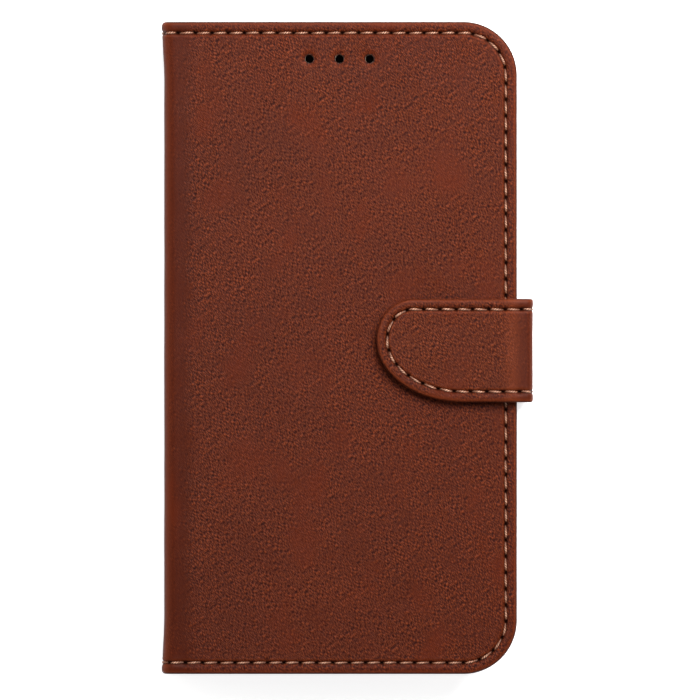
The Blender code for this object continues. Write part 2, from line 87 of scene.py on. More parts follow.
# Sizes of the finish, in metres. Everything else is read from the frame.
CORNER = 0.0130  # cover corners on the free edge
SEAM_INSET = 0.00275
SPINE_FLARE = 0.00048  # how far the spine spreads at the two ends of the seam
FLARE_LENGTH = 0.0150
FOLD_RADIUS = 0.0026
BAND = 0.0042  # width of the finely meshed border of a cover
EDGE_THICKNESS = 0.0019  # skin turned back over itself
SKIN_THICKNESS = 0.00085
TURNED_WIDTH = 0.0034
STITCH_PITCH = 0.00395
THREAD_RADIUS = 0.00023
THREAD_SLANT = 0.00010  # how far a stitch leans to each side of its seam
FINE = 0.00033  # spacing of points along a border
FAR_IN = 1.0  # what a sheet's inner points give as their inset, beyond any edge effect
SPEAKER_RADIUS = 0.00105
SPEAKER_PITCH = 0.0073
SPEAKER_FROM_TOP = 0.0090

STRAP_SEAM_INSET = 0.0026
STRAP_BEND_RADIUS = 0.0021
STRAP_EDGE = 0.00185
STRAP_TIP_Y = 0.0019  # the tip's outermost point, and the two curves that meet there
STRAP_UPPER_CURVE = 0.0089
STRAP_LOWER_CURVE = 0.0210
STRAP_LINING_INSET = 0.35 * MM
LINING_INSET = 0.0010
LINING_CORNER = CORNER - LINING_INSET

# Places read from the frame.
SKIN_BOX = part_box("front_cover_skin")
X_SPINE, X_EDGE = SKIN_BOX[0].x, SKIN_BOX[1].x
Y_TOP = SKIN_BOX[1].y
Z_FRONT = SKIN_BOX[1].z
STRAP_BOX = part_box("strap_skin")
X_MIDDLE = (X_SPINE + X_EDGE) / 2
HALF_SPINE = Z_FRONT / 2


def smooth(t):
    t = np.clip(t, 0.0, 1.0)
    return t * t * (3 - 2 * t)


def bell(x, width):
    return np.exp(-((x / width) ** 2))


def ripple(s, y, size, seed):
    """A slow unevenness from a few crossed waves, from -1 to 1. seed shifts and turns them."""
    total = np.zeros_like(s)
    for turn in range(5):
        angle = seed + 1.9 * turn
        wave = (s * math.cos(angle) + y * math.sin(angle)) / size * (1 + 0.37 * turn)
        total = total + np.sin(2 * math.pi * wave + seed * (turn + 1))
    return total / 5


# A line in the XZ plane that a flat sheet is laid along.


class Fold:
    """Straights and arcs end to end, as pairs of a length and the degrees turned over it.
    side is 1 where the face looks left of the way it runs."""

    SPACING = 0.00005

    def __init__(self, start, heading, steps, side, calm_before=4.5 * MM):
        self.calm_before = calm_before
        x, z = start
        angle = math.radians(heading)
        points, angles, lengths = [(x, z)], [angle], [0.0]
        for length, turn in steps:
            count = max(2, int(length / self.SPACING))
            for _ in range(count):
                angle += math.radians(turn) / (2 * count)
                x += math.cos(angle) * length / count
                z += math.sin(angle) * length / count
                angle += math.radians(turn) / (2 * count)
                points.append((x, z))
                angles.append(angle)
                lengths.append(lengths[-1] + length / count)
        self.points = np.array(points)
        self.angles = np.array(angles)
        self.lengths = np.array(lengths)
        self.side = side
        self.length = lengths[-1]

    def bent(self, s):
        """1 on the arcs, fading to 0 over calm_before ahead of them and a little after them."""
        turning = np.abs(np.gradient(self.angles, self.lengths)) > 1.0
        if not turning.any():
            return np.zeros_like(s)
        first, last = self.lengths[turning][[0, -1]]
        coming = smooth((s - first + self.calm_before) / (0.8 * self.calm_before))
        return coming * (1 - smooth((s - last) / (4 * MM)))

    def at(self, s):
        """Place and outward normal at distances s along the line, straight on past its ends."""
        inside = np.clip(s, 0.0, self.length)
        x = np.interp(inside, self.lengths, self.points[:, 0])
        z = np.interp(inside, self.lengths, self.points[:, 1])
        angle = np.interp(inside, self.lengths, self.angles)
        x = x + (s - inside) * np.cos(angle)
        z = z + (s - inside) * np.sin(angle)
        return x, z, -self.side * np.sin(angle), self.side * np.cos(angle)


def quarter(radius, turn):
    """One step of a Fold: an arc through turn degrees."""
    return radius * math.radians(abs(turn)), turn


# Outlines in the flat: rows of s, y and the outward direction there.


def line_side(start, end, outward):
    steps = np.linspace(0.0, 1.0, 60)[:, None]
    points = np.array(start) * (1 - steps) + np.array(end) * steps
    return np.hstack([points, np.tile(np.array(outward, float), (60, 1))])


def arc_side(centre, radii, first, last):
    angle = np.radians(np.linspace(first, last, 160))
    across, up = np.cos(angle), np.sin(angle)
    points = np.stack([centre[0] + radii[0] * across, centre[1] + radii[1] * up], 1)
    out = np.stack([across / radii[0], up / radii[1]], 1)
    return np.hstack([points, out / np.linalg.norm(out, axis=1)[:, None]])


def joined(*sides):
    return np.vstack([sides[0]] + [side[1:] for side in sides[1:]])


def distances(points):
    steps = np.linalg.norm(np.diff(points[:, :2], axis=0), axis=1)
    return np.concatenate([[0.0], np.cumsum(steps)])


def resampled(side, count):
    along = distances(side)
    wanted = np.linspace(0.0, along[-1], count + 1)
    rows = np.stack([np.interp(wanted, along, side[:, k]) for k in range(4)], 1)
    rows[:, 2:] /= np.linalg.norm(rows[:, 2:], axis=1)[:, None]
    return rows


def even(length, spacing):
    """A whole, even number of steps of about this spacing."""
    return 2 * max(2, round(length / spacing / 2))


# Flat sheets.


class Sheet:
    """A closed flat mesh: a grid inside a finely meshed border that rolls under at its edge."""

    def __init__(
        self,
        top,
        left,
        bottom,
        right=None,
        band=BAND,
        thick=SKIN_THICKNESS,
        edge=EDGE_THICKNESS,
        turned=TURNED_WIDTH,
        seam=SEAM_INSET,
    ):
        self.closed = right is not None
        across = even(distances(top)[-1], FINE)
        down = even(distances(left)[-1], FINE)
        sides = [resampled(top, across), resampled(left, down), resampled(bottom, across)]
        if self.closed:
            sides.append(resampled(right, down))
        path = joined(*sides)
        if self.closed:
            path = path[:-1]
        self.path = path
        seam_line = path[:, :2] - path[:, 2:] * seam
        self.along = distances(np.hstack([seam_line, path[:, 2:]]))
        self.verts, self.faces = [], []
        outer = self._grid(path, across // 2, down // 2, band, 0.0, 1.0)
        inner = self._grid(path, across // 2, down // 2, band, -thick, 0.0)
        self._border(path, self._profile(band, thick, edge, turned, seam), outer, inner, band)
        for column in range(len(outer) - 1):
            for row in range(len(outer[0]) - 1):
                for grid in (outer, inner):
                    a, b = grid[column][row : row + 2]
                    d, c = grid[column + 1][row : row + 2]
                    self.faces.append((a, d, c, b))
        if not self.closed:
            for row in range(len(outer[-1]) - 1):
                a, b = outer[-1][row : row + 2]
                c, d = inner[-1][row : row + 2]
                self.faces.append((a, b, d, c))

    def _grid(self, path, across, down, band, height, weight):
        """Rows of vertex numbers for a patch stretched between the border's inner edges."""
        edge = (path[:, :2] - path[:, 2:] * band)[::2]
        top = edge[: across + 1][::-1]
        left = edge[across : across + down + 1][::-1]
        bottom = edge[across + down : 2 * across + down + 1]
        if self.closed:
            right = np.vstack([edge[2 * across + down :], edge[:1]])
        else:
            steps = np.linspace(0.0, 1.0, down + 1)[:, None]
            right = bottom[-1] * (1 - steps) + top[-1] * steps
        u = np.linspace(0.0, 1.0, across + 1)[:, None, None]
        v = np.linspace(0.0, 1.0, down + 1)[None, :, None]
        flat = (1 - v) * bottom[:, None] + v * top[:, None] + (1 - u) * left[None] + u * right[None]
        flat = flat - (1 - u) * (1 - v) * bottom[0] - u * (1 - v) * bottom[-1]
        flat = flat - (1 - u) * v * top[0] - u * v * top[-1]
        numbers = []
        for column in flat:
            numbers.append(list(range(len(self.verts), len(self.verts) + len(column))))
            self.verts += [(s, y, height, weight, FAR_IN, -1.0, s, y) for s, y in column]
        return numbers

    def _profile(self, band, thick, edge, turned, seam):
        """Steps from the grid outward over the edge and back underneath: inset, height,
        share of the surface relief, and distance past the outline in the flat."""
        radius = edge / 2
        fine = min(band, seam + 0.0008)
        insets = list(np.linspace(band, fine, 4)[1:-1]) if band > fine else []
        insets += list(np.linspace(fine, max(seam - 0.0008, radius), 9)) if seam > radius else []
        insets += list(np.linspace(insets[-1] if insets else band, radius, 5)[1:])
        steps = [(inset, 0.0, 1.0, -inset) for inset in insets]
        for angle in np.linspace(0.0, math.pi, 10)[1:]:
            side, up = math.sin(angle) ** 0.8, math.cos(angle)
            up = math.copysign(abs(up) ** 0.8, up)
            steps.append((radius * (1 - side), radius * (up - 1), (1 + up) / 2, radius * (angle - 1)))
        under = radius * (math.pi - 1)
        if turned < band and edge > thick + 0.0002:
            steps.append((turned, -edge, 0.0, under + turned - radius))
            steps.append((turned + 0.0002, -thick, 0.0, under + turned))
        return steps

    def _border(self, path, profile, outer, inner, band):
        across, down = len(outer) - 1, len(outer[0]) - 1

        def rim(grid):
            loop = [grid[across - k][down] for k in range(across)]
            loop += [grid[0][down - k] for k in range(down)]
            loop += [grid[k][0] for k in range(across)]
            loop += [grid[across][k] for k in range(down)] if self.closed else [grid[across][0]]
            return loop

        count = len(path)
        columns = []
        for inset, height, weight, past in profile:
            columns.append(list(range(len(self.verts), len(self.verts) + count)))
            flat = path[:, :2] - path[:, 2:] * inset
            spread = path[:, :2] + path[:, 2:] * past
            self.verts += [
                (s, y, height, weight, inset, a, us, uy)
                for (s, y), a, (us, uy) in zip(flat, self.along, spread)
            ]
        last = count if self.closed else count - 1
        for one, two in zip(columns, columns[1:]):
            for k in range(last):
                n = (k + 1) % count
                self.faces.append((one[k], one[n], two[n], two[k]))
        for loop, column in ((rim(outer), columns[0]), (rim(inner), columns[-1])):
            for k in range(0, last, 2):
                a, b = loop[k // 2], loop[(k // 2 + 1) % len(loop)]
                self.faces.append((a, column[k], column[k + 1], column[(k + 2) % count], b))
        if not self.closed:
            for end, corner in ((0, down), (-1, 0)):
                ring = [column[end] for column in columns]
                self.faces.append((outer[across][corner], *ring, inner[across][corner]))

    def mesh(self, name):
        """The flat sheet as a mesh whose third coordinate is the height, with its data on it."""
        rows = np.array(self.verts)
        mesh = bpy.data.meshes.new(name)
        mesh.from_pydata(rows[:, :3].tolist(), [], self.faces)
        for column, key in enumerate(("weight", "inset", "along", "flat_s", "flat_y"), start=3):
            layer = mesh.attributes.new(key, "FLOAT", "POINT")
            layer.data.foreach_set("value", rows[:, column].astype(np.float32))
        return mesh


def read(mesh, key):
    values = np.zeros(len(mesh.vertices), np.float32)
    mesh.attributes[key].data.foreach_get("value", values)
    return values.astype(float)


def corners_of(mesh):
    flat = np.zeros(len(mesh.vertices) * 3, np.float32)
    mesh.vertices.foreach_get("co", flat)
    return flat.reshape(-1, 3).astype(float)


def circle_gap(centre, radius):
    """Distance outside a circle in the flat."""
    return lambda s, y: np.hypot(s - centre[0], y - centre[1]) - radius


def box_gap(low, high, radius):
    """Distance outside a rounded rectangle in the flat."""
    middle = ((low[0] + high[0]) / 2, (low[1] + high[1]) / 2)
    half = ((high[0] - low[0]) / 2 - radius, (high[1] - low[1]) / 2 - radius)

    def gap(s, y):
        ds, dy = np.abs(s - middle[0]) - half[0], np.abs(y - middle[1]) - half[1]
        return np.hypot(np.maximum(ds, 0), np.maximum(dy, 0)) + np.minimum(np.maximum(ds, dy), 0) - radius

    return gap


def punch(mesh, gap, refine=0, reach=0.0):
    """Cut a clean hole where gap is negative, after refining the mesh within reach of it."""
    shape = bmesh.new()
    shape.from_mesh(mesh)
    if refine:
        near = [v for v in shape.verts if gap(v.co.x, v.co.y) < reach]
        edges = {e for v in near for e in v.link_edges}
        bmesh.ops.subdivide_edges(shape, edges=list(edges), cuts=refine, use_grid_fill=True)
    cell = 2 * FINE / (refine + 1)
    middles = [(face, face.calc_center_median()) for face in shape.faces]
    gone = [face for face, middle in middles if gap(middle.x, middle.y) < 0.15 * cell]
    bmesh.ops.delete(shape, geom=gone, context="FACES")
    border = [edge for edge in shape.edges if edge.is_boundary]
    rim = [edge for edge in border if gap(*edge.verts[0].co.xy) < 3 * cell]
    step = cell / 50
    for vert in {v for e in rim for v in e.verts}:
        for _ in range(3):
            x, y = vert.co.x, vert.co.y
            slope = Vector((gap(x + step, y) - gap(x - step, y), gap(x, y + step) - gap(x, y - step)))
            slope.normalize()
            vert.co.x -= slope.x * gap(x, y)
            vert.co.y -= slope.y * gap(x, y)
    bmesh.ops.bridge_loops(shape, edges=rim)
    flat_s, flat_y = (shape.verts.layers.float[key] for key in ("flat_s", "flat_y"))
    for vert in {v for e in rim if e.is_valid for v in e.verts}:
        vert[flat_s], vert[flat_y] = vert.co.x, vert.co.y
    loose = [v for v in shape.verts if not v.link_faces]
    bmesh.ops.delete(shape, geom=loose, context="VERTS")
    shape.to_mesh(mesh)
    shape.free()


def laid(name, mesh, fold, relief, paint, spread=None, thin=None, grain=(0.0, 1.0)):
    """Give a flat sheet its relief, lay it along the fold and make it an object.
    relief gives heights and paint gives lightening, mostly painted highlights, and painted shade, both from
    s, y, inset and along.
    thin gives the share of its thickness left at s; grain is the start and sense of its UV map."""
    flat = corners_of(mesh)
    s, y, height = flat.T
    weight, inset, along = (read(mesh, key) for key in ("weight", "inset", "along"))
    height = height + weight * relief(s, y, inset, along)
    if thin is not None:
        height = height * thin(s)
    x, z, nx, nz = fold.at(s)
    places = np.stack([x + nx * height, y, z + nz * height], 1)
    if spread is not None:
        places = spread(places)
    mesh.vertices.foreach_set("co", places.astype(np.float32).ravel())
    uv = np.stack([grain[0] + grain[1] * read(mesh, "flat_s"), read(mesh, "flat_y")], 1)
    loops = np.zeros(len(mesh.loops), np.int32)
    mesh.loops.foreach_get("vertex_index", loops)
    layer = mesh.uv_layers.new(name="flat")
    layer.data.foreach_set("uv", uv[loops].astype(np.float32).ravel())
    wear, shade = paint(s, y, inset, along)
    calm = 1.0 - 0.72 * fold.bent(s) - 0.35 * bell(inset - 0.2 * MM, 0.9 * MM)
    # The rolled edge and the underside get painted shade, down to 0.6, and lose their painted highlights.
    kept = {"wear": wear * weight, "shade": shade * (0.6 + 0.4 * weight), "calm": calm}
    for key, values in kept.items():
        attribute = mesh.attributes.new(key, "FLOAT", "POINT")
        attribute.data.foreach_set("value", np.asarray(values, np.float32))
    for key in ("weight", "inset", "along", "flat_s", "flat_y"):
        mesh.attributes.remove(mesh.attributes[key])
    return finished(name, mesh)


def finished(name, mesh):
    shape = bmesh.new()
    shape.from_mesh(mesh)
    bmesh.ops.recalc_face_normals(shape, faces=shape.faces)
    shape.to_mesh(mesh)
    shape.free()
    mesh.shade_smooth()
    mesh.set_sharp_from_angle(angle=math.radians(62))
    obj = bpy.data.objects.new(name, mesh)
    bpy.context.scene.collection.objects.link(obj)
    return obj


# Thread.


class Seam:
    """A line in the flat, with its own stitches, at one inset from an outline."""

    def __init__(self, path, inset):
        self.rows = np.hstack([path[:, :2] - path[:, 2:] * inset, path[:, 2:]])
        self.along = distances(self.rows)

    def at(self, a):
        return [np.interp(a, self.along, self.rows[:, k]) for k in range(4)]

    def starts(self):
        places = np.arange(-STITCH_PITCH, self.along[-1] + STITCH_PITCH, STITCH_PITCH)
        started = places >= -0.3 * STITCH_PITCH
        return places[started & (places + 0.7 * STITCH_PITCH <= self.along[-1])]


def twisted_stitches(name, seam, fold, sink, spread=None):
    """One short arch of two-ply thread from each needle hole to the next."""
    steps, sides = 26, 12
    starts = seam.starts()
    t = np.linspace(0.0, 1.0, steps)
    arch = np.sin(np.pi * t) ** 0.5
    along = starts[:, None] + STITCH_PITCH * (0.12 + 0.76 * t)[None]
    s, y, out_s, out_y = seam.at(along)
    lean = THREAD_SLANT * (2 * t - 1)[None]
    wobble = 0.03 * MM * np.sin(7.3 * np.arange(len(starts)))[:, None] * arch[None]
    s, y = s + out_s * (lean + wobble), y + out_y * (lean + wobble)
    depth = sink(s, y) if callable(sink) else sink
    height = 0.62 * MM * (arch - 1)[None] - depth
    x, z, nx, nz = fold.at(s)
    centre = np.stack([x + nx * height, y, z + nz * height], -1)
    if spread is not None:
        centre = spread(centre.reshape(-1, 3)).reshape(centre.shape)
    up = np.stack([nx, 0 * nx, nz], -1)
    tangent = np.gradient(centre, axis=1)
    tangent /= np.linalg.norm(tangent, axis=-1)[..., None]
    across = np.cross(tangent, up)
    across /= np.linalg.norm(across, axis=-1)[..., None]
    up = np.cross(across, tangent)
    angle = np.linspace(0.0, 2 * np.pi, sides, endpoint=False)
    twist = 2 * np.pi * 2.6 * t
    ply = 1 + 0.20 * np.cos(2 * (angle[None, :] - twist[:, None]))
    ends = 0.55 + 0.45 * np.sin(np.pi * np.clip(t, 0.02, 0.98)) ** 0.35
    size = THREAD_RADIUS * ply * ends[:, None]
    rings = centre[:, :, None] + size[None, ..., None] * (
        np.cos(angle)[None, None, :, None] * across[:, :, None]
        + np.sin(angle)[None, None, :, None] * up[:, :, None]
    )
    verts = rings.reshape(-1, 3)
    faces = []
    for stitch in range(len(starts)):
        base = stitch * steps * sides
        for k in range(steps - 1):
            for m in range(sides):
                n = (m + 1) % sides
                a, b = base + k * sides, base + (k + 1) * sides
                faces.append((a + m, a + n, b + n, b + m))
        faces.append(tuple(base + m for m in range(sides)))
        faces.append(tuple(base + (steps - 1) * sides + m for m in reversed(range(sides))))
    # Painted highlight on the crowns of the twist, brighter towards each stitch's far end and fading where
    # it dives into its holes.
    crown = 0.5 + 0.5 * np.cos(2 * (angle[None, :] - twist[:, None]))
    crown = crown * (0.35 + 0.65 * smooth(t * 1.6)[:, None])
    crown = crown * (0.25 + 0.75 * np.sin(np.pi * t) ** 0.6)[:, None]
    mesh = bpy.data.meshes.new(name)
    mesh.from_pydata(verts.tolist(), [], faces)
    attribute = mesh.attributes.new("crown", "FLOAT", "POINT")
    attribute.data.foreach_set("value", np.tile(crown.ravel(), len(starts)).astype(np.float32))
    return finished(name, mesh)


# Materials.


# Near black for painted shade: needle holes, the seam's groove, creases, hole walls and rolled edges.
PAINTED_SHADE_BLACK = (0.004, 0.0015, 0.001)


class Nodes:
    """A material's node tree, with short ways to add and join nodes."""

    def __init__(self, name, roughness, specular=0.5, metallic=0.0):
        self.material = bpy.data.materials.new(name)
        self.material.use_nodes = True
        self.tree = self.material.node_tree
        self.shader = self.tree.nodes["Principled BSDF"]
        for key, value in (
            ("Roughness", roughness),
            ("Specular IOR Level", specular),
            ("Metallic", metallic),
        ):
            self.shader.inputs[key].default_value = value

    def add(self, kind, **inputs):
        node = self.tree.nodes.new("ShaderNode" + kind)
        for key, value in inputs.items():
            socket = node.inputs[key.replace("_", " ")]
            if isinstance(value, bpy.types.NodeSocket):
                self.tree.links.new(value, socket)
            else:
                socket.default_value = value
        return node

    def math(self, operation, a, b, clamp=False):
        node = self.tree.nodes.new("ShaderNodeMath")
        node.operation = operation
        node.use_clamp = clamp
        for socket, value in zip(node.inputs, (a, b)):
            if isinstance(value, bpy.types.NodeSocket):
                self.tree.links.new(value, socket)
            else:
                socket.default_value = value
        return node.outputs[0]

    def mix(self, factor, a, b):
        node = self.tree.nodes.new("ShaderNodeMix")
        node.data_type = "RGBA"
        for key, value in (("Factor_Float", factor), ("A_Color", a), ("B_Color", b)):
            socket = next(s for s in node.inputs if s.identifier == key)
            if isinstance(value, bpy.types.NodeSocket):
                self.tree.links.new(value, socket)
            elif key == "Factor_Float":
                socket.default_value = value
            else:
                socket.default_value = (*value, 1.0)
        return next(s for s in node.outputs if s.identifier == "Result_Color")

    def ramp(self, value, low, high):
        node = self.add("MapRange", Value=value)
        node.interpolation_type = "SMOOTHSTEP"
        node.inputs["From Min"].default_value = low
        node.inputs["From Max"].default_value = high
        return node.outputs["Result"]

    def flat(self, turn=0.0, stretch=(1.0, 1.0)):
        """Millimetres on the flat sheet, turned and scaled unevenly."""
        uv = self.tree.nodes.new("ShaderNodeUVMap")
        uv.uv_map = "flat"
        scale = (1000 / stretch[0], 1000 / stretch[1], 1.0)
        turned = self.add("Mapping", Vector=uv.outputs[0], Rotation=(0.0, 0.0, math.radians(turn)))
        return self.add("Mapping", Vector=turned.outputs[0], Scale=scale).outputs[0]

    def space(self):
        """Millimetres in the object's own space."""
        place = self.tree.nodes.new("ShaderNodeTexCoord").outputs["Object"]
        return self.add("Mapping", Vector=place, Scale=(1000.0, 1000.0, 1000.0)).outputs[0]

    def noise(self, vector, size, detail=2.0, roughness=0.5, distortion=0.0):
        settings = {"Detail": detail, "Roughness": roughness, "Distortion": distortion}
        return self.add("TexNoise", Vector=vector, Scale=1 / size, **settings).outputs["Fac"]

    def attribute(self, name):
        node = self.tree.nodes.new("ShaderNodeAttribute")
        node.attribute_name = name
        return node.outputs["Fac"]

    def colour(self, value):
        self.tree.links.new(value, self.shader.inputs["Base Color"])

    def rough(self, value, low, high):
        node = self.add("MapRange", Value=value)
        node.inputs["To Min"].default_value = low
        node.inputs["To Max"].default_value = high
        self.tree.links.new(node.outputs["Result"], self.shader.inputs["Roughness"])

    def bump(self, height, strength, distance):
        bump = self.add("Bump", Height=height, Strength=strength, Distance=distance)
        self.tree.links.new(bump.outputs[0], self.shader.inputs["Normal"])


# Sizes of the leather's marks, in millimetres on the flat sheet.
STROKE = (0.72, 0.165)  # length and width of the slanting marks
PEBBLE = 0.20
GRAIN_PATCH = 9.0  # areas of stronger and weaker grain
RED_PATCH = 13.0
CLOUD = 26.0
GRAIN_LEVEL = 0.15  # the height that pressed and stretched leather settles at
GRAIN_DEPTH = 0.16 * MM


def leather(name, dark, middle, light, red, grain=1.0, turn=55.0, rough=(0.38, 0.56)):
    """Pull-up leather: slanting fine grain, soft pebbles, and slow patches of redder brown, lightened mostly
    by painted highlights and darkened to near black by painted shade.
    """
    nodes = Nodes(name, 0.5, specular=0.07)
    strokes = nodes.noise(nodes.flat(turn, STROKE), 1.0, detail=0.5, distortion=0.1)
    pebbles = nodes.noise(nodes.flat(), PEBBLE, detail=1.0, roughness=0.6)
    strength = nodes.ramp(nodes.noise(nodes.flat(), GRAIN_PATCH, detail=1.0), 0.10, 0.80)
    strokes = nodes.math("SUBTRACT", strokes, 0.5)
    strokes = nodes.math("MULTIPLY", strokes, nodes.math("ADD", strength, 0.55))
    strokes = nodes.math("MULTIPLY", strokes, 1.3 * grain)
    height = nodes.math("ADD", strokes, nodes.math("MULTIPLY", pebbles, 0.30))
    raised = nodes.math("SUBTRACT", height, GRAIN_LEVEL)
    calmed = nodes.math("MULTIPLY", raised, nodes.attribute("calm"))
    height = nodes.math("ADD", calmed, GRAIN_LEVEL)
    base = nodes.mix(nodes.ramp(height, -0.02, 0.17), dark, middle)
    base = nodes.mix(nodes.ramp(height, 0.14, 0.40), base, light)
    patches = nodes.noise(nodes.flat(20.0, (1.0, 1.5)), RED_PATCH, detail=3.0, roughness=0.55)
    base = nodes.mix(nodes.math("MULTIPLY", nodes.ramp(patches, 0.50, 0.72), 0.60), base, red)
    cloud = nodes.ramp(nodes.noise(nodes.flat(), CLOUD, detail=2.0), 0.35, 0.7)
    base = nodes.mix(nodes.math("MULTIPLY", cloud, 0.12), base, dark)
    # Painted highlights lighten the colour towards its light tone; painted shade takes it towards near
    # black.
    wear_and_highlight_share = nodes.math("MULTIPLY", nodes.attribute("wear"), nodes.math("ADD", pebbles, 0.25), clamp=True)
    base = nodes.mix(wear_and_highlight_share, base, light)
    shade = nodes.attribute("shade")
    base = nodes.mix(nodes.math("SUBTRACT", 1.0, shade, clamp=True), base, PAINTED_SHADE_BLACK)
    nodes.colour(base)
    nodes.rough(nodes.ramp(height, 0.0, 0.45), rough[1], rough[0])
    nodes.bump(height, 0.80 * grain, GRAIN_DEPTH)
    return nodes.material


def thread_material():
    """Twisted waxed thread: brown, with painted highlights in pale tan on the crowns of its twist and
    painted shade between them.
    """
    nodes = Nodes("thread", 0.5, specular=0.35)
    crown = nodes.attribute("crown")
    fibres = nodes.noise(nodes.space(), 0.13, detail=2.0, roughness=0.7)
    length = nodes.ramp(nodes.noise(nodes.space(), 1.7, detail=1.0), 0.35, 0.65)
    lit = nodes.math("ADD", nodes.math("MULTIPLY", crown, 0.75), nodes.math("MULTIPLY", fibres, 0.35))
    base = nodes.mix(nodes.ramp(lit, 0.15, 0.50), (0.030, 0.010, 0.005), (0.20, 0.075, 0.036))
    base = nodes.mix(nodes.ramp(lit, 0.56, 0.90), base, (0.74, 0.43, 0.29))
    nodes.colour(nodes.mix(nodes.math("MULTIPLY", length, 0.45), base, (0.15, 0.055, 0.028)))
    nodes.bump(fibres, 0.4, 0.00006)
    return nodes.material


def board_material():
    nodes = Nodes("pressed_board", 0.9, specular=0.2)
    fibres = nodes.noise(nodes.space(), 0.5, detail=4.0, roughness=0.7, distortion=1.5)
    specks = nodes.noise(nodes.space(), 1.6, detail=3.0)
    base = nodes.mix(fibres, (0.20, 0.155, 0.105), (0.42, 0.35, 0.26))
    nodes.colour(nodes.mix(nodes.ramp(specks, 0.58, 0.64), base, (0.12, 0.09, 0.06)))
    nodes.bump(fibres, 0.4, 0.0001)
    return nodes.material


def shell_material():
    """Soft black plastic with the fine spark-eroded texture of its mould."""
    nodes = Nodes("soft_plastic", 0.5, specular=0.4)
    spark = nodes.noise(nodes.space(), 0.16, detail=2.0)
    hands = nodes.noise(nodes.space(), 9.0, detail=3.0)
    nodes.colour(nodes.mix(hands, (0.010, 0.010, 0.011), (0.020, 0.020, 0.022)))
    nodes.rough(hands, 0.38, 0.62)
    nodes.bump(spark, 0.35, 0.00005)
    return nodes.material


def steel_material():
    nodes = Nodes("plated_steel", 0.3, metallic=1.0)
    streaks = nodes.noise(nodes.space(), 0.8, detail=4.0, roughness=0.7)
    nodes.colour(nodes.mix(streaks, (0.50, 0.51, 0.52), (0.66, 0.66, 0.67)))
    nodes.rough(streaks, 0.22, 0.45)
    nodes.bump(streaks, 0.15, 0.00004)
    return nodes.material


def adhesive_material():
    nodes = Nodes("adhesive_film", 0.35, specular=0.4)
    bubbles = nodes.noise(nodes.space(), 1.3, detail=3.0, roughness=0.6)
    nodes.colour(nodes.mix(nodes.ramp(bubbles, 0.4, 0.7), (0.52, 0.50, 0.44), (0.70, 0.68, 0.62)))
    nodes.bump(bubbles, 0.2, 0.0001)
    return nodes.material


def floor_material():
    nodes = Nodes("floor", 0.95, specular=0.05)
    nodes.colour(nodes.mix(nodes.noise(nodes.space(), 40.0), (0.90, 0.90, 0.905), (0.915, 0.915, 0.915)))
    nodes.shader.inputs["Emission Color"].default_value = (1.0, 1.0, 1.0, 1.0)
    nodes.shader.inputs["Emission Strength"].default_value = 0.66
    return nodes.material


COVER = leather(
    "cover_leather",
    dark=(0.014, 0.0016, 0.0004),
    middle=(0.045, 0.0058, 0.0010),
    light=(0.127, 0.0225, 0.0058),
    red=(0.068, 0.0080, 0.0009),
)
STRAP = leather(
    "strap_leather",
    dark=(0.015, 0.0018, 0.0005),
    middle=(0.048, 0.0066, 0.0013),
    light=(0.130, 0.0245, 0.0068),
    red=(0.070, 0.0090, 0.0012),
)
LINING = leather(
    "lining_leather",
    dark=(0.060, 0.022, 0.012),
    middle=(0.105, 0.043, 0.026),
    light=(0.160, 0.075, 0.048),
    red=(0.105, 0.038, 0.021),
    grain=0.5,
    turn=0.0,
    rough=(0.55, 0.75),
)
POCKET = leather(
    "pocket_leather",
    dark=(0.055, 0.019, 0.010),
    middle=(0.100, 0.039, 0.023),
    light=(0.155, 0.070, 0.045),
    red=(0.100, 0.035, 0.019),
    grain=0.5,
    turn=0.0,
    rough=(0.52, 0.72),
)
THREAD = thread_material()


def dressed(obj, material):
    obj.data.materials.clear()
    obj.data.materials.append(material)


# The covers and the spine.


def band_sides(end, low, high, corner):
    """Top, rounded end at s = 0 and bottom of a band in the flat, from the cut round to the cut."""
    upper, lower = (corner, high - corner), (corner, low + corner)
    radii = (corner, corner)
    top = joined(line_side((end, high), (corner, high), (0, 1)), arc_side(upper, radii, 90, 135))
    left = joined(
        arc_side(upper, radii, 135, 180),
        line_side((0.0, high - corner), (0.0, low + corner), (-1, 0)),
        arc_side(lower, radii, 180, 225),
    )
    bottom = joined(arc_side(lower, radii, 225, 270), line_side((corner, low), (end, low), (0, -1)))
    return top, left, bottom


def cover_sides(end, inset=0.0):
    """A cover's outline, or that of a sheet set in from it on three sides."""
    return band_sides(end, inset - Y_TOP, Y_TOP - inset, CORNER - inset)


def nearest_hole(along):
    """Signed distance along the seam from its nearest needle hole."""
    return (along / STITCH_PITCH + 0.5) % 1.0 * STITCH_PITCH - 0.5 * STITCH_PITCH


def seam_relief(inset, along, seam=SEAM_INSET):
    """A puffy border, a valley that the thread lies in, and its needle holes."""
    puff = 0.15 * MM * bell(inset - 0.50 * seam, 0.42 * seam)
    shoulder = 0.05 * MM * bell(inset - seam - 0.9 * MM, 0.45 * MM)
    valley = 0.36 * MM * bell(inset - seam, 0.50 * MM)
    pull = 0.10 * MM * bell(nearest_hole(along), 0.9 * MM) * bell(inset - seam, 1.1 * MM)
    hole = 0.75 * MM * bell(nearest_hole(along), 0.42 * MM) * bell(inset - seam, 0.26 * MM)
    return puff + shoulder - valley - pull - hole


def seam_paint(inset, along, seam=SEAM_INSET):
    # Painted highlights on the puffy border, just inside the edge and on the shoulder inside the seam;
    # painted shade in the seam's groove and its needle holes.
    hole = bell(nearest_hole(along), 0.55 * MM) * bell(inset - seam, 0.34 * MM)
    groove = bell(inset - seam, 0.42 * MM)
    wear = 0.62 * bell(inset - 0.55 * MM, 0.30 * MM) + 0.35 * bell(inset - seam - 0.65 * MM, 0.32 * MM)
    shade = 1 - 0.50 * groove - 0.75 * hole
    return wear, np.clip(shade, 0.02, 1.0)


